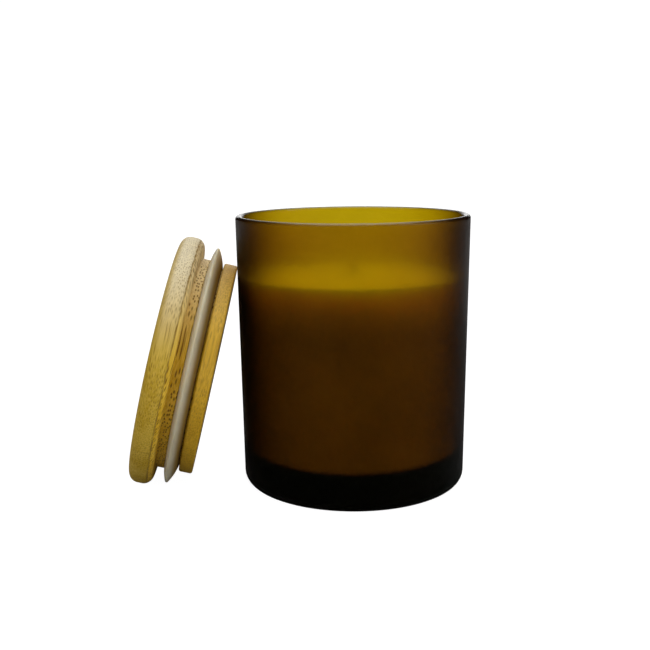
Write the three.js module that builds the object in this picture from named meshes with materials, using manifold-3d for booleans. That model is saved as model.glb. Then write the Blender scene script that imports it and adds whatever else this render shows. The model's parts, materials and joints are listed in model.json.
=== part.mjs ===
// A frosted glass candle jar filled with wax, and its bamboo lid with a silicone seal.
// The lid stands on its edge beside the jar and leans on the jar's wall.
// Units are millimetres, +Z is up, and the origin is the centre of the jar's underside.

import * as THREE from 'three';
import { mergeVertices } from 'three/addons/utils/BufferGeometryUtils.js';
import Module from 'manifold-3d';

const wasm = await Module();
wasm.setup();

// ---- driving dimensions ----

const facets = 64;        // sides round the glass, wax, lid and seal
const smallFacets = 24;   // sides round the wick and its metal tab
const arcSteps = 5;       // points on a rounded edge
const clearance = 0.3;    // between pieces that touch or are glued

const jar = {
  height: 93.5,
  rimRadius: 40,          // outside, at the rim
  footRadius: 38.56,      // outside, where the wall's line meets the table
  wall: 2.3,
  floor: 11.2,            // thickness of the heavy base
  footRound: 4.25,        // outer edge of the base
  floorRound: 3.5,        // inner edge of the floor
};

const wax = {
  level: 72.9,            // height of the poured surface above the table
  edgeRound: 0.8,         // where the surface meets the glass
};

const wick = { radius: 1.25, proud: 6.4, tipRound: 0.7 };   // proud: trimmed length above the wax
const sticker = { radius: 9, thickness: 0.8 };
const sustainer = { radius: 10, sheet: 0.5, neckRadius: 2.4, neckHeight: 5.5, bendRound: 0.6 };

const lid = {
  radius: 43.9,
  flangeThickness: 8.2,   // the wide part that rests on the jar's rim
  edgeRound: 3.3,         // both edges of the flange
  jointDepth: 6.7,        // outer face to the glue joint between the two boards
  neckRadius: 37.3,
  neckDepth: 11.25,       // outer face to the end of the neck
  spigotRadius: 34.6,     // the seal sits round the spigot
  spigotDepth: 16.15,     // outer face to the retaining disc
  discRadius: 37.35,
  discDepth: 20.9,        // outer face to the underside of the retaining disc
  discRound: 0.75,
  grainAngle: THREE.MathUtils.degToRad(22),    // the strips' direction, from the lid's own Y
};

const strips = { top: 5, plug: 4, disc: 4 };   // bamboo strips edge-glued in each board

const seal = {
  lipRadius: 42,
  lipDepth: 12.95,        // outer face of the lid to the lip's tip
  lipRound: 0.55,
  nearRadius: 37.3,       // where the lip's two faces leave the band
  farRadius: 35.7,
  nearBulge: 0.18,        // how far each face swells out from a straight line
  farBulge: 0.28,
};

const lean = {
  tilt: THREE.MathUtils.degToRad(13.76),       // of the lid's face from upright
  turn: THREE.MathUtils.degToRad(4.5),         // of the lid about a vertical line
  sideways: -0.25,        // of the lid's outer face centre, along Y
  standOff: 0.4,          // between the lid's upper edge and the glass
};

// ---- helpers ----

function arc(centreR, centreZ, radius, from, to, steps = arcSteps) {
  const points = [];
  for (let i = 0; i <= steps; i++) {
    const angle = THREE.MathUtils.degToRad(from + ((to - from) * i) / steps);
    points.push([centreR + radius * Math.cos(angle), centreZ + radius * Math.sin(angle)]);
  }
  return points;
}

// Turns a profile of [radius, height] points round Z. It runs counter-clockwise, solid on its left.
function turned(profile, sides = facets) {
  const points = profile.map(([r, z]) => new THREE.Vector2(Math.max(r, 0), z));
  return new THREE.LatheGeometry(points, sides).rotateX(Math.PI / 2);
}

// The points between two ends of a line that swells out to its right.
function bulged([r0, z0], [r1, z1], bulge, steps = 4) {
  const length = Math.hypot(r1 - r0, z1 - z0);
  const points = [];
  for (let i = 1; i < steps; i++) {
    const t = i / steps;
    const out = (4 * bulge * t * (1 - t)) / length;
    points.push([r0 + (r1 - r0) * t + (z1 - z0) * out, z0 + (z1 - z0) * t - (r1 - r0) * out]);
  }
  return points;
}

// A ring's profile ends at its first point.
function turnedRing(profile, sides = facets) {
  return turned([...profile, profile[0]], sides);
}

function toSolid(geometry) {
  const bare = geometry.clone();
  bare.deleteAttribute('normal');
  bare.deleteAttribute('uv');
  const merged = mergeVertices(bare, 1e-4);
  const index = Array.from(merged.index.array);
  const triangles = [];
  for (let i = 0; i < index.length; i += 3) {
    const [a, b, c] = index.slice(i, i + 3);
    if (a !== b && b !== c && c !== a) triangles.push(a, b, c);
  }
  return new wasm.Manifold(new wasm.Mesh({
    numProp: 3,
    vertProperties: new Float32Array(merged.attributes.position.array),
    triVerts: new Uint32Array(triangles),
  }));
}

function toGeometry(solid) {
  const mesh = solid.getMesh();
  const geometry = new THREE.BufferGeometry();
  geometry.setAttribute('position', new THREE.BufferAttribute(mesh.vertProperties, 3));
  geometry.setIndex(new THREE.BufferAttribute(mesh.triVerts, 1));
  geometry.computeVertexNormals();
  return geometry;
}

function piece(name, geometry, material) {
  const mesh = new THREE.Mesh(geometry, new THREE.MeshStandardMaterial(material));
  mesh.name = name;
  return mesh;
}

// ---- finishes ----

const amberGlass = { color: 0x7a5404, roughness: 0.55, metalness: 0, transparent: true, opacity: 0.6 };
const waxFinish = { color: 0x8a5a12, roughness: 0.6, metalness: 0 };
const cotton = { color: 0xe6dfcc, roughness: 0.95, metalness: 0 };
const tinPlate = { color: 0xb9bcc0, roughness: 0.35, metalness: 1 };
const foamTape = { color: 0xe8e6df, roughness: 0.9, metalness: 0 };
const bambooRim = { color: 0xc9ab6c, roughness: 0.62, metalness: 0 };
const bambooDisc = { color: 0xc79a33, roughness: 0.6, metalness: 0 };
const silicone = { color: 0xb3aa98, roughness: 0.5, metalness: 0 };

// ---- jar ----

function outerRadius(z) {
  return jar.footRadius + ((jar.rimRadius - jar.footRadius) * z) / jar.height;
}

function innerRadius(z) {
  return outerRadius(z) - jar.wall;
}

function glassJar() {
  const lip = jar.wall / 2;
  const foot = outerRadius(jar.footRound) - jar.footRound;
  const corner = innerRadius(jar.floor + jar.floorRound) - jar.floorRound;
  return piece('glass_jar', turned([
    [0, 0],
    ...arc(foot, jar.footRound, jar.footRound, -90, 0),
    ...arc(jar.rimRadius - lip, jar.height - lip, lip, 0, 180, 6),
    ...arc(corner, jar.floor + jar.floorRound, jar.floorRound, 0, -90),
    [0, jar.floor],
  ]), amberGlass);
}

// ---- candle ----

const stickerBase = jar.floor + clearance;
const sustainerBase = stickerBase + sticker.thickness + clearance;
const wickBase = sustainerBase;
const wickTop = wax.level + wick.proud;

function waxFill() {
  const base = jar.floor + clearance;
  const round = jar.floorRound;
  const corner = innerRadius(base + round) - clearance - round;
  const top = innerRadius(wax.level) - clearance;
  const pocket = sustainer.radius + clearance;
  const pocketTop = sustainerBase + sustainer.sheet + clearance;
  const neckTop = sustainerBase + sustainer.neckHeight + clearance;
  const neck = sustainer.neckRadius + clearance;
  const bore = wick.radius + clearance;
  return piece('wax_fill', turnedRing([
    [pocket, base],
    ...arc(corner, base + round, round, -90, 0),
    ...arc(top - wax.edgeRound, wax.level - wax.edgeRound, wax.edgeRound, 0, 90, 2),
    [bore, wax.level],
    [bore, neckTop],
    [neck, neckTop],
    [neck, pocketTop],
    [pocket, pocketTop],
  ]), waxFinish);
}

function braidedWick() {
  const round = wick.tipRound;
  return piece('wick', turned([
    [0, wickBase],
    [wick.radius, wickBase],
    ...arc(wick.radius - round, wickTop - round, round, 0, 90, 3),
    [0, wickTop],
  ], smallFacets), cotton);
}

function wickSustainer() {
  const bore = wick.radius + clearance;
  const sheetTop = sustainerBase + sustainer.sheet;
  const bend = sustainer.bendRound;
  return piece('wick_sustainer', turnedRing([
    [bore, sustainerBase],
    [sustainer.radius, sustainerBase],
    [sustainer.radius, sheetTop],
    ...arc(sustainer.neckRadius + bend, sheetTop + bend, bend, 270, 180, 3),
    [sustainer.neckRadius, sustainerBase + sustainer.neckHeight],
    [bore, sustainerBase + sustainer.neckHeight],
  ], smallFacets), tinPlate);
}

function wickSticker() {
  return piece('wick_sticker', turned([
    [0, stickerBase],
    [sticker.radius, stickerBase],
    [sticker.radius, stickerBase + sticker.thickness],
    [0, stickerBase + sticker.thickness],
  ], smallFacets), foamTape);
}

// ---- lid, in its own frame: origin at the centre of the outer face, +Z out of that face ----

// The two rounded edges of the flange, as one outline from the underside up to the outer face.
function flangeOutline() {
  const round = lid.edgeRound;
  const centre = lid.radius - round;
  return [
    ...arc(centre, -(lid.flangeThickness - round), round, -90, 0, 8),
    ...arc(centre, -round, round, 0, 90, 6),
  ];
}

// The outline's radius at a depth on its lower rounded edge.
function flangeRadius(depth) {
  const below = depth - (lid.flangeThickness - lid.edgeRound);
  return lid.radius - lid.edgeRound + Math.sqrt(lid.edgeRound ** 2 - below ** 2);
}

function topBoard() {
  const base = -(lid.jointDepth - clearance / 2);
  return turned([
    [0, base],
    [flangeRadius(-base), base],
    ...flangeOutline().filter(([, z]) => z > base + 0.1),
    [0, 0],
  ]);
}

function plugBoard() {
  const top = -(lid.jointDepth + clearance / 2);
  const spigotEnd = -(lid.spigotDepth - clearance);
  return turned([
    [0, spigotEnd],
    [lid.spigotRadius, spigotEnd],
    [lid.spigotRadius, -lid.neckDepth],
    [lid.neckRadius, -lid.neckDepth],
    [lid.neckRadius, -lid.flangeThickness],
    ...flangeOutline().filter(([, z]) => z < top - 0.1),
    [flangeRadius(-top), top],
    [0, top],
  ]);
}

function retainingDisc() {
  const round = lid.discRound;
  const edge = lid.discRadius - round;
  return turned([
    [0, -lid.discDepth],
    ...arc(edge, -(lid.discDepth - round), round, -90, 0, 3),
    ...arc(edge, -(lid.spigotDepth + round), round, 0, 90, 3),
    [0, -lid.spigotDepth],
  ]);
}

// Saws a board into parallel strips of equal width.
function sawn(name, board, radius, count, material) {
  const solid = toSolid(board);
  const pitch = (2 * radius) / count;
  return Array.from({ length: count }, (_, i) => {
    const across = -radius + pitch * (i + 0.5);
    const blank = new THREE.BoxGeometry(pitch - clearance, 4 * radius, 4 * lid.discDepth);
    blank.translate(across, 0, 0).rotateZ(lid.grainAngle);
    return piece(`${name}_${i + 1}`, toGeometry(solid.intersect(toSolid(blank))), material);
  });
}

function siliconeSeal() {
  const inner = lid.spigotRadius + clearance;
  const near = -(lid.neckDepth + clearance);
  const far = -(lid.spigotDepth - clearance);
  const lip = arc(seal.lipRadius - seal.lipRound, -seal.lipDepth, seal.lipRound, -60, 65, 4);
  return piece('lid_seal', turnedRing([
    [inner, far],
    [seal.farRadius, far],
    ...bulged([seal.farRadius, far], lip[0], seal.farBulge),
    ...lip,
    ...bulged(lip.at(-1), [seal.nearRadius, near], seal.nearBulge),
    [seal.nearRadius, near],
    [inner, near],
  ]), silicone);
}

// Height of the outer face's centre when the flange's rounded edge stands on the table.
function standingHeight() {
  const centreDepth = lid.flangeThickness - lid.edgeRound;
  return centreDepth * Math.sin(lean.tilt)
    + (lid.radius - lid.edgeRound) * Math.cos(lean.tilt) + lid.edgeRound;
}

// Where the outer face's centre stands so that the retaining disc's upper edge rests by the jar.
function standingPlace() {
  const height = standingHeight();
  const along = lid.discDepth * Math.cos(lean.tilt) + lid.discRadius * Math.sin(lean.tilt);
  const touchHeight = height - lid.discDepth * Math.sin(lean.tilt)
    + lid.discRadius * Math.cos(lean.tilt);
  const touchY = lean.sideways + along * Math.sin(lean.turn);
  const reach = outerRadius(touchHeight) + lean.standOff;
  const touchX = -Math.sqrt(reach ** 2 - touchY ** 2);
  return [touchX - along * Math.cos(lean.turn), lean.sideways, height];
}

function leaningLid() {
  const upright = new THREE.Group();      // on its edge, outer face to -X
  upright.rotation.set(Math.PI / 2, 0, -Math.PI / 2, 'ZYX');
  upright.add(
    ...sawn('lid_top_strip', topBoard(), lid.radius, strips.top, bambooRim),
    ...sawn('lid_plug_strip', plugBoard(), lid.radius, strips.plug, bambooRim),
    ...sawn('lid_disc_strip', retainingDisc(), lid.discRadius, strips.disc, bambooDisc),
    siliconeSeal(),
  );
  const leaning = new THREE.Group();
  leaning.rotation.y = lean.tilt;
  leaning.add(upright);
  const standing = new THREE.Group();
  standing.rotation.z = lean.turn;
  standing.position.set(...standingPlace());
  standing.add(leaning);
  return standing;
}

const candleJar = new THREE.Group();
candleJar.add(glassJar(), waxFill(), braidedWick(), wickSustainer(), wickSticker(), leaningLid());

export default candleJar;
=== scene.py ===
import bpy
import bmesh
import json
import math
from mathutils import Matrix, Vector


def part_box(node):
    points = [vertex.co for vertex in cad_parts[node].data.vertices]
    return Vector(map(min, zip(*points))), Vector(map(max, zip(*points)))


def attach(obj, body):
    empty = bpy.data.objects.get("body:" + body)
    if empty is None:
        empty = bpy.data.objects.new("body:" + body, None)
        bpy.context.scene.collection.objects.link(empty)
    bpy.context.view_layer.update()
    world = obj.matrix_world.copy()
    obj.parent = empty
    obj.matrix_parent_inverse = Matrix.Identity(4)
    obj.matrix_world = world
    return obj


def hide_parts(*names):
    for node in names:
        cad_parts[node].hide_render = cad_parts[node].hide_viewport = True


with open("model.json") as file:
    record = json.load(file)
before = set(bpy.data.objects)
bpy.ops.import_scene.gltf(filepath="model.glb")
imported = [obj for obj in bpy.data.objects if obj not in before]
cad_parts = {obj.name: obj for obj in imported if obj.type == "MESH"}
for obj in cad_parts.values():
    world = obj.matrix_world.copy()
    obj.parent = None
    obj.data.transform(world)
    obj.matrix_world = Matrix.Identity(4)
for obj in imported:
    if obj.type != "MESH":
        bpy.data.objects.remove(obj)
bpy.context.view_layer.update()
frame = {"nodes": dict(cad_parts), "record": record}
mm = 0.001
scene = bpy.context.scene
print("frame loaded:", len(frame["nodes"]), "nodes")


def mix(a, b, t):
    return a + (b - a) * t


def newObject(name, mesh):
    obj = bpy.data.objects.new(name, mesh)
    scene.collection.objects.link(obj)
    return obj


# points of a rounded corner, as (radius, height)
def arc(centreR, centreZ, radius, start, end, steps):
    points = []
    for i in range(steps + 1):
        a = math.radians(mix(start, end, i / steps))
        points.append((centreR + radius * math.cos(a), centreZ + radius * math.sin(a)))
    return points


def mountOf(name):
    return next(m for m in frame["record"]["mounts"] if m["name"] == name)


# nodes are wired by name: {"Socket": value or (node, "Output")}
def addNode(tree, kind, inputs=None, **settings):
    node = tree.nodes.new(kind)
    for key, value in settings.items():
        setattr(node, key, value)
    for key, value in (inputs or {}).items():
        socket = node.inputs[key]
        if isinstance(value, tuple) and len(value) == 2 and hasattr(value[0], "outputs"):
            tree.links.new(value[0].outputs[value[1]], socket)
        elif isinstance(value, bpy.types.NodeSocket):
            tree.links.new(value, socket)
        else:
            socket.default_value = value
    return node


def mathNode(tree, operation, a, b=0.0, clamp=False):
    node = addNode(tree, "ShaderNodeMath", {0: a, 1: b}, operation=operation, use_clamp=clamp)
    return node.outputs[0]


# maps a value smoothly from one range to another
def smoothRange(tree, value, low, high, toLow=0.0, toHigh=1.0):
    node = addNode(tree, "ShaderNodeMapRange", interpolation_type="SMOOTHSTEP")
    for index, v in enumerate((value, low, high, toLow, toHigh)):
        if isinstance(v, bpy.types.NodeSocket):
            tree.links.new(v, node.inputs[index])
        else:
            node.inputs[index].default_value = v
    return node.outputs[0]


def blendColours(tree, factor, a, b):
    node = addNode(tree, "ShaderNodeMix", data_type="RGBA", clamp_factor=True)
    for index, v in ((0, factor), (6, a), (7, b)):
        if isinstance(v, bpy.types.NodeSocket):
            tree.links.new(v, node.inputs[index])
        else:
            node.inputs[index].default_value = v if index == 0 else (*v, 1.0)
    return node.outputs[2]


def dimmed(colour, factor):
    return tuple(factor * c for c in colour)


def newMaterial(name):
    material = bpy.data.materials.new(name)
    material.use_nodes = True
    return material, material.node_tree, material.node_tree.nodes["Principled BSDF"]


def newGroup(name, inputs, outputs):
    tree = bpy.data.node_groups.new(name, "ShaderNodeTree")
    for label, kind, value in inputs:
        socket = tree.interface.new_socket(label, in_out="INPUT", socket_type=kind)
        if value is not None:
            socket.default_value = value
    for label, kind in outputs:
        tree.interface.new_socket(label, in_out="OUTPUT", socket_type=kind)
    return tree, tree.nodes.new("NodeGroupInput"), tree.nodes.new("NodeGroupOutput")


viewPoint = {
    "place": (0.0, -342.65 * mm, 119.21 * mm),
    "turn": -1.637,      # degrees, left of the +Y direction
    "down": 10.615,
    "roll": -0.553,
    "lens": 55.385,
    "sensor": 36.0,
}


def makeCamera():
    turn, down, roll = (math.radians(viewPoint[k]) for k in ("turn", "down", "roll"))
    ahead = Vector((math.sin(turn) * math.cos(down), math.cos(turn) * math.cos(down), -math.sin(down)))
    side = ahead.cross(Vector((0, 0, 1))).normalized()
    top = side.cross(ahead)
    rolledSide = side * math.cos(roll) + top * math.sin(roll)
    rolledTop = top * math.cos(roll) - side * math.sin(roll)
    data = bpy.data.cameras.new("camera")
    data.lens = viewPoint["lens"]
    data.sensor_width = viewPoint["sensor"]
    data.clip_start = 0.01
    camera = bpy.data.objects.new("camera", data)
    scene.collection.objects.link(camera)
    axes = Matrix((rolledSide, rolledTop, -ahead)).transposed().to_4x4()
    camera.matrix_world = Matrix.Translation(viewPoint["place"]) @ axes
    scene.camera = camera


makeCamera()
print("camera placed")


# a lathe: a profile curve comes in, is turned round Z, and a closed body goes out.
# Each row of the grid is one profile point.
def makeTurnGroup():
    tree = bpy.data.node_groups.new("turnOnLathe", "GeometryNodeTree")
    tree.interface.new_socket("Profile", in_out="INPUT", socket_type="NodeSocketGeometry")
    tree.interface.new_socket("Sides", in_out="INPUT", socket_type="NodeSocketInt")
    tree.interface.new_socket("Weld", in_out="INPUT", socket_type="NodeSocketFloat")
    tree.interface.new_socket("Body", in_out="OUTPUT", socket_type="NodeSocketGeometry")
    source = tree.nodes.new("NodeGroupInput")
    points = addNode(tree, "GeometryNodeCurveToPoints", {"Curve": (source, "Profile")}, mode="EVALUATED")
    count = addNode(tree, "GeometryNodeAttributeDomainSize",
                    {"Geometry": (points, "Points")}, component="POINTCLOUD")
    columns = mathNode(tree, "ADD", source.outputs["Sides"], 1.0)
    grid = addNode(tree, "GeometryNodeMeshGrid",
                   {"Size X": 1.0, "Size Y": 1.0, "Vertices X": columns,
                    "Vertices Y": (count, "Point Count")})
    index = addNode(tree, "GeometryNodeInputIndex").outputs[0]
    rows = count.outputs["Point Count"]
    column = mathNode(tree, "FLOOR", mathNode(tree, "DIVIDE", mathNode(tree, "ADD", index, 0.5), rows))
    row = mathNode(tree, "SUBTRACT", index, mathNode(tree, "MULTIPLY", column, rows))
    position = addNode(tree, "GeometryNodeInputPosition").outputs[0]
    sample = addNode(tree, "GeometryNodeSampleIndex", data_type="FLOAT_VECTOR", domain="POINT")
    tree.links.new(points.outputs["Points"], sample.inputs["Geometry"])
    tree.links.new(position, sample.inputs["Value"])
    tree.links.new(row, sample.inputs["Index"])
    split = addNode(tree, "ShaderNodeSeparateXYZ", {0: (sample, 0)})
    share = mathNode(tree, "DIVIDE", column, source.outputs["Sides"])
    turn = mathNode(tree, "MULTIPLY", share, math.tau)
    radius = split.outputs["X"]
    place = addNode(tree, "ShaderNodeCombineXYZ", {
        "X": mathNode(tree, "MULTIPLY", radius, mathNode(tree, "COSINE", turn)),
        "Y": mathNode(tree, "MULTIPLY", radius, mathNode(tree, "SINE", turn)),
        "Z": split.outputs["Z"]})
    moved = addNode(tree, "GeometryNodeSetPosition",
                    {"Geometry": (grid, "Mesh"), "Position": (place, "Vector")})
    welded = addNode(tree, "GeometryNodeMergeByDistance",
                     {"Geometry": (moved, "Geometry"), "Distance": (source, "Weld")})
    addNode(tree, "NodeGroupOutput", {"Body": (welded, "Geometry")})
    return tree


turnGroup = makeTurnGroup()
weldDistance = 0.002 * mm


def finishTree(tree, body, source):
    smooth = addNode(tree, "GeometryNodeSetShadeSmooth", {"Geometry": body, "Shade Smooth": True})
    real = addNode(tree, "GeometryNodeRealizeInstances", {"Geometry": (smooth, "Geometry")})
    painted = addNode(tree, "GeometryNodeSetMaterial",
                      {"Geometry": (real, "Geometry"), "Material": (source, "Material")})
    addNode(tree, "NodeGroupOutput", {"Geometry": (painted, "Geometry")})


def startTree(name, sizes):
    tree = bpy.data.node_groups.new(name, "GeometryNodeTree")
    tree.interface.new_socket("Geometry", in_out="INPUT", socket_type="NodeSocketGeometry")
    for label, value in sizes.items():
        kind = "NodeSocketInt" if isinstance(value, int) else "NodeSocketFloat"
        tree.interface.new_socket(label, in_out="INPUT", socket_type=kind)
    tree.interface.new_socket("Material", in_out="INPUT", socket_type="NodeSocketMaterial")
    tree.interface.new_socket("Geometry", in_out="OUTPUT", socket_type="NodeSocketGeometry")
    return tree, tree.nodes.new("NodeGroupInput")


# turns any profile mesh, used by the wax, the seal and the lid's boards
def makeProfileTree():
    tree, source = startTree("turnedProfile", {"Sides": 96})
    curve = addNode(tree, "GeometryNodeMeshToCurve", {"Mesh": (source, "Geometry")})
    lathe = addNode(tree, "GeometryNodeGroup", node_tree=turnGroup)
    tree.links.new(curve.outputs[0], lathe.inputs["Profile"])
    tree.links.new(source.outputs["Sides"], lathe.inputs["Sides"])
    lathe.inputs["Weld"].default_value = weldDistance
    finishTree(tree, lathe.outputs["Body"], source)
    return tree


# the tumbler's outline from its sizes: six corners, each rounded by its own radius
def makeTumblerTree():
    sizes = {"Rim Radius": 0.0, "Foot Radius": 0.0, "Height": 0.0, "Wall": 0.0, "Floor": 0.0,
             "Foot Round": 0.0, "Floor Round": 0.0, "Round Steps": 8, "Sides": 96}
    tree, source = startTree("turnedTumbler", sizes)
    given = source.outputs
    spread = mathNode(tree, "SUBTRACT", given["Rim Radius"], given["Foot Radius"])
    taper = mathNode(tree, "DIVIDE", spread, given["Height"])
    flare = mathNode(tree, "MULTIPLY", taper, given["Floor"])
    floorOuter = mathNode(tree, "ADD", given["Foot Radius"], flare)
    floorInner = mathNode(tree, "SUBTRACT", floorOuter, given["Wall"])
    rimInner = mathNode(tree, "SUBTRACT", given["Rim Radius"], given["Wall"])
    lipRound = mathNode(tree, "MULTIPLY", given["Wall"], 0.499)
    corners = [(0.0, 0.0, 0.0), (given["Foot Radius"], 0.0, given["Foot Round"]),
               (given["Rim Radius"], given["Height"], lipRound), (rimInner, given["Height"], lipRound),
               (floorInner, given["Floor"], given["Floor Round"]), (0.0, given["Floor"], 0.0)]
    index = addNode(tree, "GeometryNodeInputIndex").outputs[0]
    chosen = []
    for part in range(3):
        switch = addNode(tree, "GeometryNodeIndexSwitch", {"Index": index}, data_type="FLOAT")
        while len(switch.index_switch_items) < len(corners):
            switch.index_switch_items.new()
        for i, corner in enumerate(corners):
            value = corner[part]
            if isinstance(value, bpy.types.NodeSocket):
                tree.links.new(value, switch.inputs[i + 1])
            else:
                switch.inputs[i + 1].default_value = value
        chosen.append(switch.outputs[0])
    line = addNode(tree, "GeometryNodeMeshLine", {"Count": len(corners)})
    place = addNode(tree, "ShaderNodeCombineXYZ", {"X": chosen[0], "Z": chosen[1]})
    outline = addNode(tree, "GeometryNodeSetPosition",
                      {"Geometry": (line, "Mesh"), "Position": (place, "Vector")})
    curve = addNode(tree, "GeometryNodeMeshToCurve", {"Mesh": (outline, "Geometry")})
    fillet = addNode(tree, "GeometryNodeFilletCurve", mode="POLY")
    tree.links.new(curve.outputs[0], fillet.inputs["Curve"])
    tree.links.new(given["Round Steps"], fillet.inputs["Count"])
    tree.links.new(chosen[2], fillet.inputs["Radius"])
    lathe = addNode(tree, "GeometryNodeGroup", node_tree=turnGroup)
    tree.links.new(fillet.outputs[0], lathe.inputs["Profile"])
    tree.links.new(given["Sides"], lathe.inputs["Sides"])
    lathe.inputs["Weld"].default_value = weldDistance
    finishTree(tree, lathe.outputs["Body"], source)
    return tree


# runs a tree on an object, keeps the plain mesh and puts it where it belongs
def bakeTree(name, tree, values, material, profile=None, matrix=None):
    mesh = bpy.data.meshes.new(name + "_profile")
    if profile:
        closed = profile[0] == profile[-1]
        points = profile[:-1] if closed else profile
        edges = [(i, i + 1) for i in range(len(points) - 1)]
        if closed:
            edges.append((len(points) - 1, 0))
        mesh.from_pydata([(r, 0.0, z) for r, z in points], edges, [])
    obj = newObject(name, mesh)
    modifier = obj.modifiers.new("shape", "NODES")
    modifier.node_group = tree
    for item in tree.interface.items_tree:
        if item.in_out == "INPUT" and item.name in values:
            modifier[item.identifier] = values[item.name]
        if item.in_out == "INPUT" and item.name == "Material":
            modifier[item.identifier] = material
    evaluated = obj.evaluated_get(bpy.context.evaluated_depsgraph_get())
    plain = bpy.data.meshes.new_from_object(evaluated)
    obj.modifiers.remove(modifier)
    obj.data = plain
    plain.name = name
    tidyMesh(plain)
    if matrix:
        plain.transform(matrix)
    plain.update()
    return obj


# welds, drops zero-size faces and turns every face outwards
def tidyMesh(mesh):
    shape = bmesh.new()
    shape.from_mesh(mesh)
    bmesh.ops.remove_doubles(shape, verts=shape.verts, dist=weldDistance)
    bmesh.ops.dissolve_degenerate(shape, edges=shape.edges, dist=weldDistance)
    bmesh.ops.recalc_face_normals(shape, faces=shape.faces)
    if shape.calc_volume(signed=True) < 0:
        bmesh.ops.reverse_faces(shape, faces=shape.faces)
    shape.to_mesh(mesh)
    shape.free()


profileTree = makeProfileTree()
tumblerTree = makeTumblerTree()
print("geometry trees built")


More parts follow.
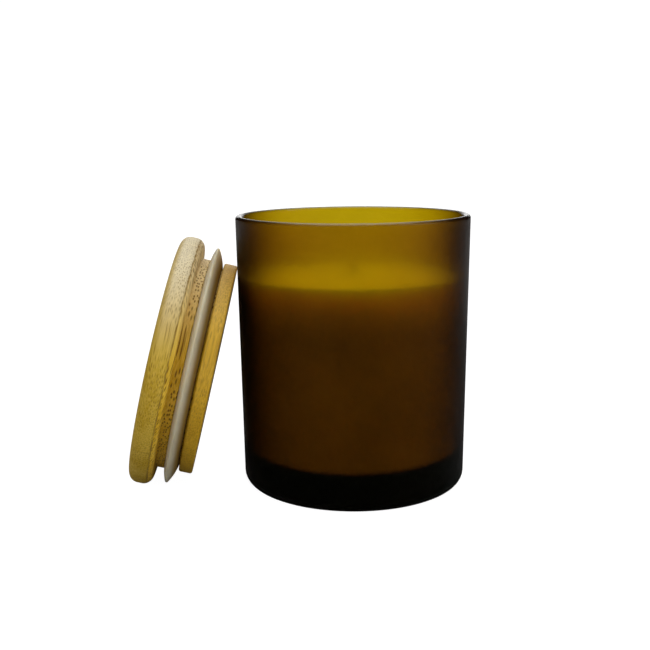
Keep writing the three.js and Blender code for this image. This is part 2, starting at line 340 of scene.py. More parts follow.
# bamboo, in the lid's frame turned to its grain: X runs across the strips, Y along them and Z out.
# Fibres and bundles follow Y, so they are streaks along a strip and dark pores where its end is cut.
def makeBambooGroup():
    tree, source, result = newGroup("bambooGrain", [
        ("Vector", "NodeSocketVector", None), ("Seed", "NodeSocketFloat", 0.0),
        ("Light", "NodeSocketColor", (0.60, 0.42, 0.17, 1)),
        ("Dark", "NodeSocketColor", (0.36, 0.21, 0.05, 1)),
        ("Pore", "NodeSocketColor", (0.26, 0.12, 0.010, 1)), ("Pore Spacing", "NodeSocketFloat", 1.15),
        ("Pore Amount", "NodeSocketFloat", 0.6), ("Glue", "NodeSocketColor", (0.36, 0.21, 0.03, 1)),
        ("Strip Low", "NodeSocketFloat", -9.0), ("Strip High", "NodeSocketFloat", 9.0),
        ("Seam Depth", "NodeSocketFloat", 6.7)],
        [("Color", "NodeSocketColor"), ("Roughness", "NodeSocketFloat"), ("Height", "NodeSocketFloat")])
    given = source.outputs
    inMm = addNode(tree, "ShaderNodeVectorMath", {0: (source, "Vector"), 1: (1000.0, 1000.0, 1000.0)},
                   operation="MULTIPLY")
    shift = addNode(tree, "ShaderNodeCombineXYZ", {
        "X": mathNode(tree, "MULTIPLY", given["Seed"], 7.31),
        "Y": mathNode(tree, "MULTIPLY", given["Seed"], 53.7),
        "Z": mathNode(tree, "MULTIPLY", given["Seed"], 3.77)})
    moved = addNode(tree, "ShaderNodeVectorMath", {0: (inMm, 0), 1: (shift, 0)}, operation="ADD")

    def noise(across, along, deep, detail, roughness=0.5):
        stretch = (1 / across, 1 / along, 1 / deep)
        scaled = addNode(tree, "ShaderNodeVectorMath", {0: (moved, 0), 1: stretch}, operation="MULTIPLY")
        node = addNode(tree, "ShaderNodeTexNoise", {
            "Vector": (scaled, 0), "Scale": 1.0, "Detail": detail, "Roughness": roughness})
        return node.outputs[0]

    tone = noise(7, 90, 5, 2.0)
    streaks = smoothRange(tree, noise(0.42, 18, 0.42, 4.0, 0.65), 0.34, 0.66)
    shade = mathNode(tree, "ADD", mathNode(tree, "MULTIPLY", smoothRange(tree, tone, 0.3, 0.7), 0.4),
                     mathNode(tree, "MULTIPLY", streaks, 0.6))
    # each bundle runs the whole strip, wandering a little
    wander = mathNode(tree, "MULTIPLY", noise(6, 14, 6, 1.0), 1.2)
    split = addNode(tree, "ShaderNodeSeparateXYZ", {0: (moved, 0)})
    section = addNode(tree, "ShaderNodeCombineXYZ", {
        "X": mathNode(tree, "ADD", split.outputs["X"], wander),
        "Y": mathNode(tree, "SUBTRACT", split.outputs["Z"], wander)})
    spacing = addNode(tree, "ShaderNodeVectorMath", {0: (section, 0)}, operation="SCALE")
    tree.links.new(mathNode(tree, "DIVIDE", 1.0, given["Pore Spacing"]), spacing.inputs["Scale"])
    bundles = addNode(tree, "ShaderNodeTexVoronoi",
                      {"Vector": (spacing, 0), "Scale": 1.0, "Randomness": 0.7},
                      voronoi_dimensions="2D", feature="F1")
    dots = smoothRange(tree, bundles.outputs["Distance"], 0.10, 0.38, 1.0, 0.0)
    patchy = smoothRange(tree, noise(5, 30, 4, 1.0), 0.36, 0.55, 0.5, 1.0)
    strength = mathNode(tree, "MULTIPLY", dots, patchy)
    pores = mathNode(tree, "MULTIPLY", strength, given["Pore Amount"], clamp=True)
    # dark glue along the strip's two sides and at the joint between the boards
    place = addNode(tree, "ShaderNodeSeparateXYZ", {0: (inMm, 0)})
    fromLow = mathNode(tree, "SUBTRACT", place.outputs["X"], given["Strip Low"])
    fromHigh = mathNode(tree, "SUBTRACT", given["Strip High"], place.outputs["X"])
    edges = smoothRange(tree, mathNode(tree, "MINIMUM", fromLow, fromHigh), 0.02, 0.16, 0.4, 0.0)
    fromSeam = mathNode(tree, "ABSOLUTE", mathNode(tree, "ADD", place.outputs["Z"], given["Seam Depth"]))
    broken = smoothRange(tree, noise(1.5, 3, 1, 3.0), 0.38, 0.60, 0.25, 1.0)
    seam = mathNode(tree, "MULTIPLY", smoothRange(tree, fromSeam, 0.08, 0.42, 1.0, 0.0), broken)
    glued = mathNode(tree, "MAXIMUM", edges, seam)
    wood = blendColours(tree, shade, given["Light"], given["Dark"])
    pored = blendColours(tree, pores, wood, given["Pore"])
    tree.links.new(blendColours(tree, glued, pored, given["Glue"]), result.inputs["Color"])
    rough = mathNode(tree, "ADD", 0.46, mathNode(tree, "MULTIPLY", shade, 0.16))
    tree.links.new(rough, result.inputs["Roughness"])
    height = mathNode(tree, "SUBTRACT", mathNode(tree, "MULTIPLY", streaks, -0.3), pores)
    lowered = mathNode(tree, "SUBTRACT", height, mathNode(tree, "MULTIPLY", glued, 0.4))
    tree.links.new(lowered, result.inputs["Height"])
    return tree


# slow patches and a fine speckle, both from 0 to 1, for every finish but the bamboo
def makeMottleGroup():
    tree, source, result = newGroup("softMottle", [
        ("Vector", "NodeSocketVector", None), ("Patch Size", "NodeSocketFloat", 12.0),
        ("Speckle Size", "NodeSocketFloat", 0.4)],
        [("Patches", "NodeSocketFloat"), ("Speckle", "NodeSocketFloat")])
    for label, size, detail in (("Patches", "Patch Size", 2.0), ("Speckle", "Speckle Size", 3.0)):
        scaled = addNode(tree, "ShaderNodeVectorMath", {0: (source, "Vector")}, operation="SCALE")
        tree.links.new(mathNode(tree, "DIVIDE", 1000.0, source.outputs[size]), scaled.inputs["Scale"])
        noise = addNode(tree, "ShaderNodeTexNoise", {
            "Vector": (scaled, 0), "Scale": 1.0, "Detail": detail})
        tree.links.new(noise.outputs[0], result.inputs[label])
    return tree


bambooGroup = makeBambooGroup()
mottleGroup = makeMottleGroup()


def addBump(tree, shader, height, strength, distance):
    bump = addNode(tree, "ShaderNodeBump", {
        "Strength": strength, "Distance": distance, "Height": height})
    tree.links.new(bump.outputs[0], shader.inputs["Normal"])


def objectCoordinates(tree):
    return addNode(tree, "ShaderNodeTexCoord").outputs["Object"]


# the coordinates of another frame, such as the lid's
def framedCoordinates(tree, coords, matrix):
    mapping = addNode(tree, "ShaderNodeMapping", {"Vector": coords}, vector_type="TEXTURE")
    mapping.inputs["Location"].default_value = matrix.translation
    mapping.inputs["Rotation"].default_value = matrix.to_euler("XYZ")
    return mapping.outputs[0]


def axisOf(tree, vector, axis):
    return addNode(tree, "ShaderNodeSeparateXYZ", {0: vector}).outputs[axis]


def addMottle(tree, coords, patchSize, speckleSize):
    mottle = addNode(tree, "ShaderNodeGroup", node_tree=mottleGroup)
    tree.links.new(coords, mottle.inputs["Vector"])
    mottle.inputs["Patch Size"].default_value = patchSize
    mottle.inputs["Speckle Size"].default_value = speckleSize
    return mottle.outputs["Patches"], mottle.outputs["Speckle"]


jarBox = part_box("glass_jar")
jarGlass = {
    "rimRadius": jarBox[1].x,
    "height": jarBox[1].z,
    "footRadius": 38.56 * mm,
    "wall": 2.3 * mm,
    "floor": 11.2 * mm,
    "footRound": 4.25 * mm,
    "floorRound": 3.5 * mm,
    "roundSteps": 8,
    "sides": 192,
    "wallPasses": (0.575, 0.41, 0.003),   # share of light that gets straight through one wall
    "frost": (0.97, 0.95, 0.90),
    "roughness": 0.45,
    "edgeShade": 0.8,            # how much darker the glass is where it is seen edge on
    "lipShine": 1.0,             # the melted lip is glossier than the frosted walls
    "lipRoughness": 0.25,
    "lipFrom": 1.0 * mm,         # below the rim, where the gloss begins
    "lipTo": 0.3 * mm,
    "grain": 0.3,
    "bend": 1.14,                # refractive index, low because the frost scatters most of the gloss
    "gloss": 0.2,
    "glossTint": (1.0, 0.9, 0.5),
}


def frostedGlass():
    g = jarGlass
    material, tree, shader = newMaterial("frostedAmberGlass")
    coords = objectCoordinates(tree)
    patches, speckle = addMottle(tree, coords, patchSize=16.0, speckleSize=0.25)
    tint = blendColours(tree, smoothRange(tree, patches, 0.3, 0.7),
                        g["frost"], dimmed(g["frost"], 0.93))
    facing = addNode(tree, "ShaderNodeLayerWeight", {"Blend": 0.5}).outputs["Facing"]
    edges = smoothRange(tree, facing, 0.12, 0.85, 0.0, g["edgeShade"])
    shaded = blendColours(tree, edges, tint, (0.0, 0.0, 0.0))
    tree.links.new(shaded, shader.inputs["Base Color"])
    rough = smoothRange(tree, speckle, 0.2, 0.8, g["roughness"] - 0.05, g["roughness"] + 0.05)
    tree.links.new(rough, shader.inputs["Roughness"])
    height = axisOf(tree, coords, "Z")
    shine = smoothRange(tree, height, g["height"] - g["lipFrom"], g["height"] - g["lipTo"],
                        0.0, g["lipShine"])
    tree.links.new(shine, shader.inputs["Coat Weight"])
    shader.inputs["Coat Roughness"].default_value = g["lipRoughness"]
    shader.inputs["Transmission Weight"].default_value = 1.0
    shader.inputs["IOR"].default_value = g["bend"]
    shader.inputs["Specular IOR Level"].default_value = g["gloss"]
    shader.inputs["Specular Tint"].default_value = (*g["glossTint"], 1.0)
    addBump(tree, shader, speckle, g["grain"], 0.02 * mm)
    # the amber is in the glass itself, so thick glass is darker
    loss = [-math.log(share) / g["wall"] for share in g["wallPasses"]]
    amber = addNode(tree, "ShaderNodeVolumeAbsorption")
    amber.inputs["Density"].default_value = max(loss)
    amber.inputs["Color"].default_value = (*(1 - l / max(loss) for l in loss), 1.0)
    tree.links.new(amber.outputs[0], tree.nodes["Material Output"].inputs["Volume"])
    return material


def makeJar():
    g = jarGlass
    sizes = {"Rim Radius": g["rimRadius"], "Foot Radius": g["footRadius"], "Height": g["height"],
             "Wall": g["wall"], "Floor": g["floor"], "Foot Round": g["footRound"],
             "Floor Round": g["floorRound"], "Round Steps": g["roundSteps"], "Sides": g["sides"]}
    glass = bakeTree("jarGlass", tumblerTree, sizes, frostedGlass())
    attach(glass, "jar")
    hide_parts("glass_jar")


makeJar()
print("jar turned")


def outerRadius(z):
    return mix(jarGlass["footRadius"], jarGlass["rimRadius"], z / jarGlass["height"])


def innerRadius(z):
    return outerRadius(z) - jarGlass["wall"]


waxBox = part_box("wax_fill")
waxPour = {
    "level": waxBox[1].z,
    "gap": 0.06 * mm,            # between wax and glass
    "climb": 0.5 * mm,           # the surface dips this much inside its edge
    "climbWidth": 1.1 * mm,
    "collar": 0.7,               # share of the climb that rises round the wick
    "collarWidth": 1.6 * mm,
    "ripple": 0.12 * mm,
    "chamfer": 0.15 * mm,        # at the glass
    "boreRadius": 1.35 * mm,     # for the wick
    "tabSheet": 0.5 * mm,        # thickness of the tab's disc
    "tabNeck": 2.4 * mm,         # radius of its crimped neck
    "surfaceSteps": 24,
    "sides": 144,
    "surface": (0.97, 0.78, 0.20),
    "body": (0.43, 0.32, 0.05),
    "fade": 18 * mm,             # painted light: for the light that reaches this far down into the wax, its colour is painted paler towards the top
    "glowDepth": 11.0 * mm,
    "roughness": 0.7,
    "gloss": 0.15,
}


def waxMaterial():
    material, tree, shader = newMaterial("candleWax")
    coords = objectCoordinates(tree)
    patches, speckle = addMottle(tree, coords, patchSize=14.0, speckleSize=1.2)
    height = axisOf(tree, coords, "Z")
    # painted light: the wax turns paler towards its top, for the light that comes in through it
    lit = smoothRange(tree, height, waxPour["level"] - waxPour["fade"], waxPour["level"])
    colour = blendColours(tree, lit, waxPour["body"], waxPour["surface"])
    patched = blendColours(tree, smoothRange(tree, patches, 0.3, 0.7, 0.0, 0.25),
                           colour, dimmed(waxPour["body"], 0.6))
    tree.links.new(patched, shader.inputs["Base Color"])
    rough = smoothRange(tree, speckle, 0.25, 0.75, waxPour["roughness"] - 0.08,
                        waxPour["roughness"] + 0.08)
    tree.links.new(rough, shader.inputs["Roughness"])
    shader.inputs["Specular IOR Level"].default_value = waxPour["gloss"]
    shader.inputs["Subsurface Weight"].default_value = 1.0
    shader.inputs["Subsurface Radius"].default_value = (1.0, 0.92, 0.5)
    shader.inputs["Subsurface Scale"].default_value = waxPour["glowDepth"]
    addBump(tree, shader, patches, 0.4, 0.3 * mm)
    return material


def makeWax():
    w = waxPour
    bend = jarGlass["floorRound"]
    base = jarGlass["floor"] + w["gap"]
    corner = innerRadius(base + bend) - w["gap"] - bend
    edge = innerRadius(w["level"]) - w["gap"]
    dip = w["level"] - w["climb"]
    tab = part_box("wick_sustainer")
    pocket = tab[1].x + w["gap"]
    tabTop = tab[0].z + w["tabSheet"] + w["gap"]
    neckTop = tab[1].z + w["gap"]
    neck = w["tabNeck"] + w["gap"]
    profile = [(pocket, base)]
    profile += arc(corner, base + bend, bend, -90, 0, 8)
    profile += [(edge, w["level"] - 0.1 * mm), (edge - w["chamfer"], w["level"])]
    for i in range(w["surfaceSteps"]):   # from the meniscus at the glass to the small rise round the wick
        t = (i + 1) / w["surfaceSteps"]
        r = mix(edge - w["chamfer"], w["boreRadius"], t)
        meniscus = math.exp(-(edge - r) / w["climbWidth"])
        collar = w["collar"] * math.exp(-(r - w["boreRadius"]) / w["collarWidth"])
        profile.append((r, dip + w["climb"] * min(1.0, meniscus + collar)))
    profile += [(w["boreRadius"], neckTop), (neck, neckTop), (neck, tabTop)]
    profile += [(pocket, tabTop), (pocket, base)]
    wax = bakeTree("waxPour", profileTree, {"Sides": w["sides"]}, waxMaterial(), profile)
    for v in wax.data.vertices:   # the poured surface is never quite level
        if v.co.z > dip - 1e-6 and v.co.xy.length < edge - 1 * mm:
            # shallow waves, about 5 cm from crest to crest
            swell = math.sin(v.co.x * 130 + 1.0) * math.cos(v.co.y * 110 - 0.6)
            v.co.z -= w["ripple"] * (1 + swell) / 2
    wax.data.update()
    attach(wax, "jar")
    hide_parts("wax_fill")


makeWax()

braid = {
    "strands": 8,
    "radius": 1.25 * mm,
    "strandRadius": 0.36 * mm,
    "overUnder": 0.35,           # how far a strand swings in and out, in strand radii
    "turnLength": 7.0 * mm,
    "steps": 180,
    "colour": (0.80, 0.74, 0.60),
}


def cottonMaterial():
    material, tree, shader = newMaterial("waxedCotton")
    coords = objectCoordinates(tree)
    patches, speckle = addMottle(tree, coords, patchSize=2.5, speckleSize=0.15)
    colour = blendColours(tree, speckle, braid["colour"], dimmed(braid["colour"], 0.7))
    tree.links.new(colour, shader.inputs["Base Color"])
    rough = smoothRange(tree, patches, 0.3, 0.7, 0.75, 0.95)
    tree.links.new(rough, shader.inputs["Roughness"])
    addBump(tree, shader, speckle, 0.6, 0.05 * mm)
    return material


# half of the strands wind one way and half the other, passing over and under
def makeBraidTree():
    sizes = {"Strands": 8, "Radius": 0.0, "Strand Radius": 0.0, "Turn Length": 0.0,
             "Bottom": 0.0, "Top": 0.0}
    tree, source = startTree("braidedWick", sizes)
    given = source.outputs
    half = mathNode(tree, "DIVIDE", given["Strands"], 2.0)
    length = mathNode(tree, "SUBTRACT", given["Top"], given["Bottom"])
    turns = mathNode(tree, "DIVIDE", length, given["Turn Length"])
    joined = tree.nodes.new("GeometryNodeJoinGeometry")
    for way in (1.0, -1.0):
        line = addNode(tree, "GeometryNodeCurvePrimitiveLine",
                       {"End": addNode(tree, "ShaderNodeCombineXYZ", {"Z": length}).outputs[0]})
        fine = addNode(tree, "GeometryNodeResampleCurve",
                       {"Curve": line.outputs[0], "Count": braid["steps"]})
        along = addNode(tree, "GeometryNodeSplineParameter").outputs["Factor"]
        angle = mathNode(tree, "MULTIPLY", mathNode(tree, "MULTIPLY", along, turns), way * math.tau)
        # in one turn a strand meets every strand that winds the other way
        crossing = mathNode(tree, "MULTIPLY", angle, half)
        wave = mathNode(tree, "MULTIPLY", mathNode(tree, "COSINE", crossing),
                        mathNode(tree, "MULTIPLY", given["Strand Radius"], braid["overUnder"] * way))
        reach = mathNode(tree, "ADD", mathNode(tree, "SUBTRACT", given["Radius"],
                         mathNode(tree, "MULTIPLY", given["Strand Radius"], 1.4)), wave)
        place = addNode(tree, "ShaderNodeCombineXYZ", {
            "X": mathNode(tree, "MULTIPLY", reach, mathNode(tree, "COSINE", angle)),
            "Y": mathNode(tree, "MULTIPLY", reach, mathNode(tree, "SINE", angle)),
            "Z": mathNode(tree, "ADD", given["Bottom"], mathNode(tree, "MULTIPLY", along, length))})
        coil = addNode(tree, "GeometryNodeSetPosition",
                       {"Geometry": (fine, 0), "Position": (place, "Vector")})
        ring = addNode(tree, "GeometryNodeMeshLine", {"Count": half, "Offset": (0.0, 0.0, 0.0)})
        index = addNode(tree, "GeometryNodeInputIndex").outputs[0]
        step = mathNode(tree, "MULTIPLY", mathNode(tree, "DIVIDE", index, half), math.tau)
        turned = addNode(tree, "ShaderNodeCombineXYZ", {"Z": step})
        copies = addNode(tree, "GeometryNodeInstanceOnPoints",
                         {"Points": (ring, 0), "Instance": (coil, 0), "Rotation": (turned, 0)})
        section = addNode(tree, "GeometryNodeCurvePrimitiveCircle",
                          {"Resolution": 8, "Radius": given["Strand Radius"]})
        real = addNode(tree, "GeometryNodeRealizeInstances", {"Geometry": (copies, 0)})
        rope = addNode(tree, "GeometryNodeCurveToMesh",
                       {"Curve": (real, 0), "Profile Curve": (section, 0), "Fill Caps": True})
        tree.links.new(rope.outputs[0], joined.inputs[0])
    finishTree(tree, joined.outputs[0], source)
    return tree


def makeWick():
    low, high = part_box("wick")
    values = {"Strands": braid["strands"], "Radius": braid["radius"],
              "Strand Radius": braid["strandRadius"], "Turn Length": braid["turnLength"],
              "Bottom": low.z + 0.1 * mm, "Top": high.z - 0.1 * mm}
    wick = bakeTree("wickBraid", makeBraidTree(), values, cottonMaterial())
    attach(wick, "jar")
    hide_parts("wick")


makeWick()


tabLooks = {
    "tin": (0.62, 0.63, 0.64),
    "tinShadow": (0.48, 0.48, 0.48),
    "foam": (0.78, 0.76, 0.71),
    "foamShadow": (0.62, 0.60, 0.55),
}


def metalMaterial():
    material, tree, shader = newMaterial("tinPlate")
    coords = objectCoordinates(tree)
    patches, speckle = addMottle(tree, coords, patchSize=5.0, speckleSize=0.3)
    shader.inputs["Metallic"].default_value = 1.0
    colour = blendColours(tree, patches, tabLooks["tin"], tabLooks["tinShadow"])
    tree.links.new(colour, shader.inputs["Base Color"])
    tree.links.new(smoothRange(tree, speckle, 0.3, 0.7, 0.25, 0.42), shader.inputs["Roughness"])
    return material


def foamMaterial():
    material, tree, shader = newMaterial("foamTape")
    coords = objectCoordinates(tree)
    speckle = addMottle(tree, coords, patchSize=3.0, speckleSize=0.2)[1]
    colour = blendColours(tree, speckle, tabLooks["foam"], tabLooks["foamShadow"])
    tree.links.new(colour, shader.inputs["Base Color"])
    shader.inputs["Roughness"].default_value = 0.9
    addBump(tree, shader, speckle, 0.5, 0.1 * mm)
    return material


def dress(node, material):
    mesh = frame["nodes"][node].data
    mesh.materials.clear()
    mesh.materials.append(material)


dress("wick_sustainer", metalMaterial())
dress("wick_sticker", foamMaterial())
print("wax and wick made")


# the lid's own frame: its outer face, with Y up the lean and Z out of the face
lidFace = mountOf("lid_face")
lidOut = Vector(lidFace["axis"]).normalized()
lidUp = (Vector((0, 0, 1)) - lidOut * lidOut.z).normalized()
lidAxes = Matrix((lidUp.cross(lidOut), lidUp, lidOut)).transposed().to_4x4()
lidFrame = Matrix.Translation(lidFace["pos_m"]) @ lidAxes

bambooLid = {
    "radius": 43.88 * mm,        # a hair under the model, which has fewer sides
    "flange": 8.2 * mm,
    "edgeRound": 3.3 * mm,
    "joint": 6.7 * mm,           # outer face to the glue joint
    "neckRadius": 37.3 * mm,
    "neckDepth": 11.25 * mm,
    "neckFillet": 0.5 * mm,
    "neckChamfer": 0.25 * mm,
    "spigotRadius": 34.6 * mm,
    "spigotDepth": 16.15 * mm,
    "discRadius": 37.35 * mm,
    "discDepth": 20.9 * mm,
    "discRound": 0.75 * mm,
    "grainAngle": 22.0,
    "glueGap": 0.03 * mm,        # half of each joint
    "paintedPaleTop": (1.0, 0.90, 0.64),   # painted light: the paler colour the wood turns towards the lid's top, where the light falls
    "light": (0.88, 0.62, 0.085),
    "dark": (0.60, 0.37, 0.012),
    "paintedPaleFrom": 50 * mm,         # heights between which the wood is painted paler, for the light from above
    "paintedPaleTo": 86 * mm,
    "facePaintedPaleness": 0.35,        # of the rim's painted light, on the flat face
    "paintedPaleEdge": (-2.5 * mm, -0.3 * mm),   # depths between which the rim turns into the face
    "sides": 240,
    "sharpAngle": 32,
}

# each board's tint, how much painted light turns it paler towards the top, and its gloss
boardTones = {
    "lid_top_strip": ((0.90, 0.88, 0.95), 0.9, 0.15),
    "lid_plug_strip": ((1.2, 1.1, 1.0), 0.7, 0.15),
    "lid_disc_strip": ((1.0, 0.86, 0.3), 0.15, 0.5),
}

# one row for each strip: pore amount, pore spacing in mm, how dark
stripLooks = {
    "lid_top_strip": [(0.6, 0.72, 0.1), (0.6, 0.8, 0.2), (0.55, 0.75, 0.1), (0.5, 0.8, 0.15),
                      (0.5, 0.7, 0.05)],
    "lid_plug_strip": [(0.9, 0.9, 0.3), (0.85, 0.9, 0.2), (1.0, 0.95, 0.1), (1.0, 1.0, 0.0)],
    "lid_disc_strip": [(0.35, 0.8, 0.2), (0.3, 0.85, 0.3), (0.35, 0.8, 0.1), (0.35, 0.85, 0.1)],
}


def topBoardProfile():
    b = bambooLid
    base = b["joint"] - b["glueGap"]
    centre = b["radius"] - b["edgeRound"]
    middle = b["flange"] - b["edgeRound"]
    lowest = -math.degrees(math.asin((base - middle) / b["edgeRound"]))
    profile = [(0.0, -base)]
    profile += arc(centre, -middle, b["edgeRound"], lowest, 0, 10)
    profile += arc(centre, -b["edgeRound"], b["edgeRound"], 0, 90, 14)
    return profile + [(0.0, 0.0)]


def plugBoardProfile():
    b = bambooLid
    top = b["joint"] + b["glueGap"]
    centre = b["radius"] - b["edgeRound"]
    middle = b["flange"] - b["edgeRound"]
    highest = -math.degrees(math.asin((top - middle) / b["edgeRound"]))
    fillet = b["neckFillet"]
    chamfer = b["neckChamfer"]
    profile = [(0.0, -b["spigotDepth"]), (b["spigotRadius"], -b["spigotDepth"])]
    profile += [(b["spigotRadius"], -b["neckDepth"]), (b["neckRadius"] - chamfer, -b["neckDepth"])]
    profile += [(b["neckRadius"], -b["neckDepth"] + chamfer)]
    profile += arc(b["neckRadius"] + fillet, -b["flange"] - fillet, fillet, 180, 90, 5)
    profile += arc(centre, -middle, b["edgeRound"], -90, highest, 12)
    return profile + [(0.0, -top)]


def discProfile():
    b = bambooLid
    edge = b["discRadius"] - b["discRound"]
    top = b["spigotDepth"] + b["glueGap"]
    profile = [(0.0, -b["discDepth"])]
    profile += arc(edge, -(b["discDepth"] - b["discRound"]), b["discRound"], -90, 0, 6)
    profile += arc(edge, -(top + b["discRound"]), b["discRound"], 0, 90, 6)
    return profile + [(0.0, -top)]


def bambooMaterial(name, seed, tone, looks, low, high, seamDepth):
    poreAmount, poreSpacing, darker = looks
    tint, paintedPaleness, gloss = tone
    b = bambooLid
    material, tree, shader = newMaterial(name)
    grain = lidFrame @ Matrix.Rotation(math.radians(b["grainAngle"]), 4, "Z")
    coords = objectCoordinates(tree)
    inLid = framedCoordinates(tree, coords, grain)
    height = axisOf(tree, coords, "Z")
    depth = axisOf(tree, inLid, "Z")
    # painted light: the wood is painted paler towards the top of the lid, where the light falls, and less
    # so on the flat face
    paintedPaleByDepth = smoothRange(tree, depth, *b["paintedPaleEdge"], paintedPaleness, b["facePaintedPaleness"] * paintedPaleness)
    paintedPaleMask = smoothRange(tree, height, b["paintedPaleFrom"], b["paintedPaleTo"], 0.0, paintedPaleByDepth)
    shade = [(1.0 - 0.35 * darker) * part for part in tint]
    lightWood = tuple(min(1.0, s * c) for s, c in zip(shade, b["light"]))
    # both wood colours blend into the painted light towards the top
    light = blendColours(tree, paintedPaleMask, lightWood, b["paintedPaleTop"])
    wood = addNode(tree, "ShaderNodeGroup", node_tree=bambooGroup)
    tree.links.new(inLid, wood.inputs["Vector"])
    tree.links.new(light, wood.inputs["Light"])
    darkWood = tuple(s * c for s, c in zip(shade, b["dark"]))
    dark = blendColours(tree, paintedPaleMask, darkWood, dimmed(b["paintedPaleTop"], 0.8))
    tree.links.new(dark, wood.inputs["Dark"])
    for label, value in (("Seed", seed), ("Pore Amount", poreAmount), ("Pore Spacing", poreSpacing),
                         ("Strip Low", low / mm), ("Strip High", high / mm),
                         ("Seam Depth", seamDepth / mm)):
        wood.inputs[label].default_value = value
    tree.links.new(wood.outputs["Color"], shader.inputs["Base Color"])
    tree.links.new(wood.outputs["Roughness"], shader.inputs["Roughness"])
    shader.inputs["Specular IOR Level"].default_value = gloss
    addBump(tree, shader, wood.outputs["Height"], 0.3, 0.08 * mm)
    return material


# keeps the part of a board between two planes across its grain
def sawStrip(board, low, high):
    shape = bmesh.new()
    shape.from_mesh(board)
    across = Vector((math.cos(math.radians(bambooLid["grainAngle"])),
                     math.sin(math.radians(bambooLid["grainAngle"])), 0))
    for offset, side in ((low, -1), (high, 1)):
        everything = shape.verts[:] + shape.edges[:] + shape.faces[:]
        cut = bmesh.ops.bisect_plane(shape, geom=everything, plane_co=across * offset,
                                     plane_no=across * side, clear_outer=True, dist=1e-9)
        rim = [e for e in cut["geom_cut"] if isinstance(e, bmesh.types.BMEdge)]
        if rim:
            bmesh.ops.contextual_create(shape, geom=rim)
    strip = bpy.data.meshes.new("strip")
    shape.to_mesh(strip)
    shape.free()
    return strip


def makeBoard(prefix, profile, radius, seed, seamDepth):
    board = bakeTree(prefix, profileTree, {"Sides": bambooLid["sides"]}, None, profile)
    rows = stripLooks[prefix]
    pitch = 2 * radius / len(rows)
    for i, looks in enumerate(rows):
        # the outermost strips run on past the board's edge, so that it isn't taken for a glue joint
        low, high = -1.2 * radius, 1.2 * radius
        if i > 0:
            low = -radius + pitch * i + bambooLid["glueGap"]
        if i < len(rows) - 1:
            high = -radius + pitch * (i + 1) - bambooLid["glueGap"]
        name = f"{prefix}_{i + 1}"
        mesh = sawStrip(board.data, low, high)
        tidyMesh(mesh)
        mesh.transform(lidFrame)
        mesh.materials.clear()
        tone = boardTones[prefix]
        mesh.materials.append(bambooMaterial(name, seed + i, tone, looks, low, high, seamDepth))
        smoothByAngle(mesh, bambooLid["sharpAngle"])
        strip = newObject("bamboo_" + name[4:], mesh)
        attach(strip, "lid")
        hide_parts(name)
    bpy.data.objects.remove(board)


def smoothByAngle(mesh, angle):
    mesh.shade_smooth()
    mesh.set_sharp_from_angle(angle=math.radians(angle))


noJoint = 1.0   # far outside the lid, so the disc shows no glue line on its edge
makeBoard("lid_top_strip", topBoardProfile(), bambooLid["radius"], 11, bambooLid["joint"])
makeBoard("lid_plug_strip", plugBoardProfile(), bambooLid["radius"], 31, bambooLid["joint"])
makeBoard("lid_disc_strip", discProfile(), bambooLid["discRadius"], 51, noJoint)
print("bamboo boards sawn into strips")

sealRing = {
    "inner": 34.75 * mm,
    "nearRadius": 37.3 * mm,     # where the lip's two faces leave the band
    "farRadius": 35.7 * mm,
    "lipRadius": 42.0 * mm,
    "lipDepth": 12.95 * mm,
    "lipRound": 0.55 * mm,
    "nearBulge": 0.18 * mm,      # how far each face swells out from a straight line
    "farBulge": 0.28 * mm,
    "near": 11.3 * mm,
    "far": 15.85 * mm,
    "colour": (0.60, 0.55, 0.40),
    "paintedWarmShade": (0.25, 0.15, 0.03),   # painted shade: its colour down by the disc, darker and warmer for the shadow there and the light bounced off the wood
    "paintedShadeEdge": (-15.2 * mm, -13.4 * mm),   # depths between which that colour fades out
    "roughness": (0.6, 0.75),
    "gloss": 0.12,
    "glowDepth": 5.0 * mm,
    "sharpAngle": 35,
}


def siliconeMaterial():
    material, tree, shader = newMaterial("silicone")
    coords = objectCoordinates(tree)
    patches, speckle = addMottle(tree, coords, patchSize=9.0, speckleSize=0.5)
    colour = blendColours(tree, smoothRange(tree, patches, 0.3, 0.7),
                          sealRing["colour"], dimmed(sealRing["colour"], 0.88))
    # painted shade: the seal turns dark brown down by the disc, for the shadow there and the light the
    # wood bounces onto it
    depth = axisOf(tree, framedCoordinates(tree, coords, lidFrame), "Z")
    low = smoothRange(tree, depth, *sealRing["paintedShadeEdge"], 1.0, 0.0)
    tree.links.new(blendColours(tree, low, colour, sealRing["paintedWarmShade"]), shader.inputs["Base Color"])
    rough = smoothRange(tree, speckle, 0.3, 0.7, *sealRing["roughness"])
    tree.links.new(rough, shader.inputs["Roughness"])
    shader.inputs["Specular IOR Level"].default_value = sealRing["gloss"]
    shader.inputs["Subsurface Weight"].default_value = 1.0
    shader.inputs["Subsurface Radius"].default_value = (1.0, 0.85, 0.6)
    shader.inputs["Subsurface Scale"].default_value = sealRing["glowDepth"]
    return material


# the points between two ends of a line that swells out to its right
def bulged(start, end, bulge, steps=10):
    length = math.dist(start, end)
    points = []
    for i in range(1, steps):
        t = i / steps
        out = 4 * bulge * t * (1 - t) / length
        points.append((mix(start[0], end[0], t) + (end[1] - start[1]) * out,
                       mix(start[1], end[1], t) - (end[0] - start[0]) * out))
    return points


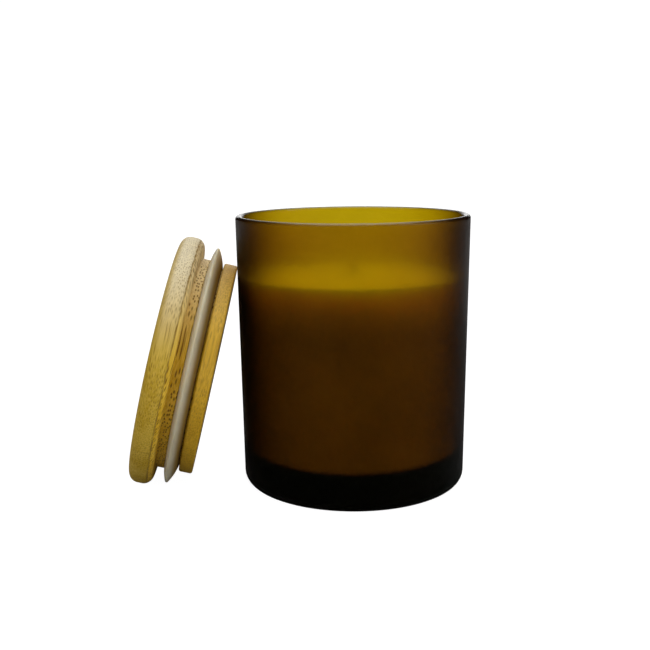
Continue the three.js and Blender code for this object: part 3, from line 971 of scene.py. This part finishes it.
def makeSeal():
    s = sealRing
    lip = arc(s["lipRadius"] - s["lipRound"], -s["lipDepth"], s["lipRound"], -60, 65, 12)
    farEdge = (s["farRadius"], -s["far"])
    nearEdge = (s["nearRadius"], -s["near"])
    profile = [(s["inner"], -s["far"]), farEdge]
    profile += bulged(farEdge, lip[0], s["farBulge"]) + lip + bulged(lip[-1], nearEdge, s["nearBulge"])
    profile += [nearEdge, (s["inner"], -s["near"]), (s["inner"], -s["far"])]
    ring = bakeTree("sealRing", profileTree, {"Sides": bambooLid["sides"]}, siliconeMaterial(),
                    profile, lidFrame)
    smoothByAngle(ring.data, s["sharpAngle"])
    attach(ring, "seal")
    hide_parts("lid_seal")


makeSeal()
print("seal made")


studio = {
    "floorSize": 6.0,
    "floorColour": (0.20, 0.20, 0.20),
    "floorGlow": 0.98,       # seen by the camera only, so that the floor is as pale as the background
    "floorBounce": 0.25,
    "farGlow": 0.5,          # the floor behind is lit like the backdrop
    "farFrom": 0.15,
    "farTo": 0.45,
    "backdrop": 1.05,        # what the camera sees behind everything
}

# soft round windows of light: where each one is, its inner and outer half angle and how bright it is
softWindows = [
    ((0, 1, 0), 12, 18, 1.8),
    ((0, 0.7, 0.7), 15, 25, 1.1),
    ((0, 0, 1), 30, 40, 1.5),
    ((0.9, -0.4, 0.1), 25, 35, 2.2),
    ((0, -1, 0.15), 25, 35, 0.8),
    ((-0.7, -0.7, 0.25), 20, 30, 1.15),
]


def makeFloor():
    mesh = bpy.data.meshes.new("floor")
    s = studio["floorSize"]
    mesh.from_pydata([(-s, -s, 0), (s, -s, 0), (s, s, 0), (-s, s, 0)], [], [(0, 1, 2, 3)])
    floor = newObject("floor", mesh)
    material, tree, shader = newMaterial("paleFloor")
    seen = addNode(tree, "ShaderNodeLightPath").outputs["Is Camera Ray"]
    bounce = dimmed((1.0, 1.0, 1.0), studio["floorBounce"])
    colour = blendColours(tree, seen, bounce, studio["floorColour"])
    tree.links.new(colour, shader.inputs["Base Color"])
    back = axisOf(tree, objectCoordinates(tree), "Y")
    far = smoothRange(tree, back, studio["farFrom"], studio["farTo"], 0.0, studio["farGlow"])
    glow = addNode(tree, "ShaderNodeMix", {0: seen}, data_type="FLOAT")
    tree.links.new(far, glow.inputs[2])
    glow.inputs[3].default_value = studio["floorGlow"]
    tree.links.new(glow.outputs[0], shader.inputs["Emission Strength"])
    shader.inputs["Emission Color"].default_value = (1, 1, 1, 1)
    shader.inputs["Roughness"].default_value = 0.9
    shader.inputs["Specular IOR Level"].default_value = 0.0
    mesh.materials.append(material)


# a dark studio with soft windows of light in it, white where the camera looks straight at it
def makeWorld():
    world = bpy.data.worlds.new("studio")
    scene.world = world
    world.use_nodes = True
    tree = world.node_tree
    background = tree.nodes["Background"]
    direction = addNode(tree, "ShaderNodeTexCoord").outputs["Generated"]
    total = 0.0
    for axis, inner, outer, level in softWindows:
        facing = addNode(tree, "ShaderNodeVectorMath", {0: direction, 1: Vector(axis).normalized()},
                         operation="DOT_PRODUCT")
        window = smoothRange(tree, facing.outputs["Value"], math.cos(math.radians(outer)),
                             math.cos(math.radians(inner)), 0.0, level)
        total = mathNode(tree, "ADD", total, window)
    seen = addNode(tree, "ShaderNodeLightPath").outputs["Is Camera Ray"]
    shown = addNode(tree, "ShaderNodeMix", {0: seen}, data_type="FLOAT")
    tree.links.new(total, shown.inputs[2])
    shown.inputs[3].default_value = studio["backdrop"]
    tree.links.new(shown.outputs[0], background.inputs["Strength"])
    background.inputs["Color"].default_value = (1, 1, 1, 1)


makeFloor()
makeWorld()
scene.view_settings.view_transform = "Standard"
print("floor and lights set")
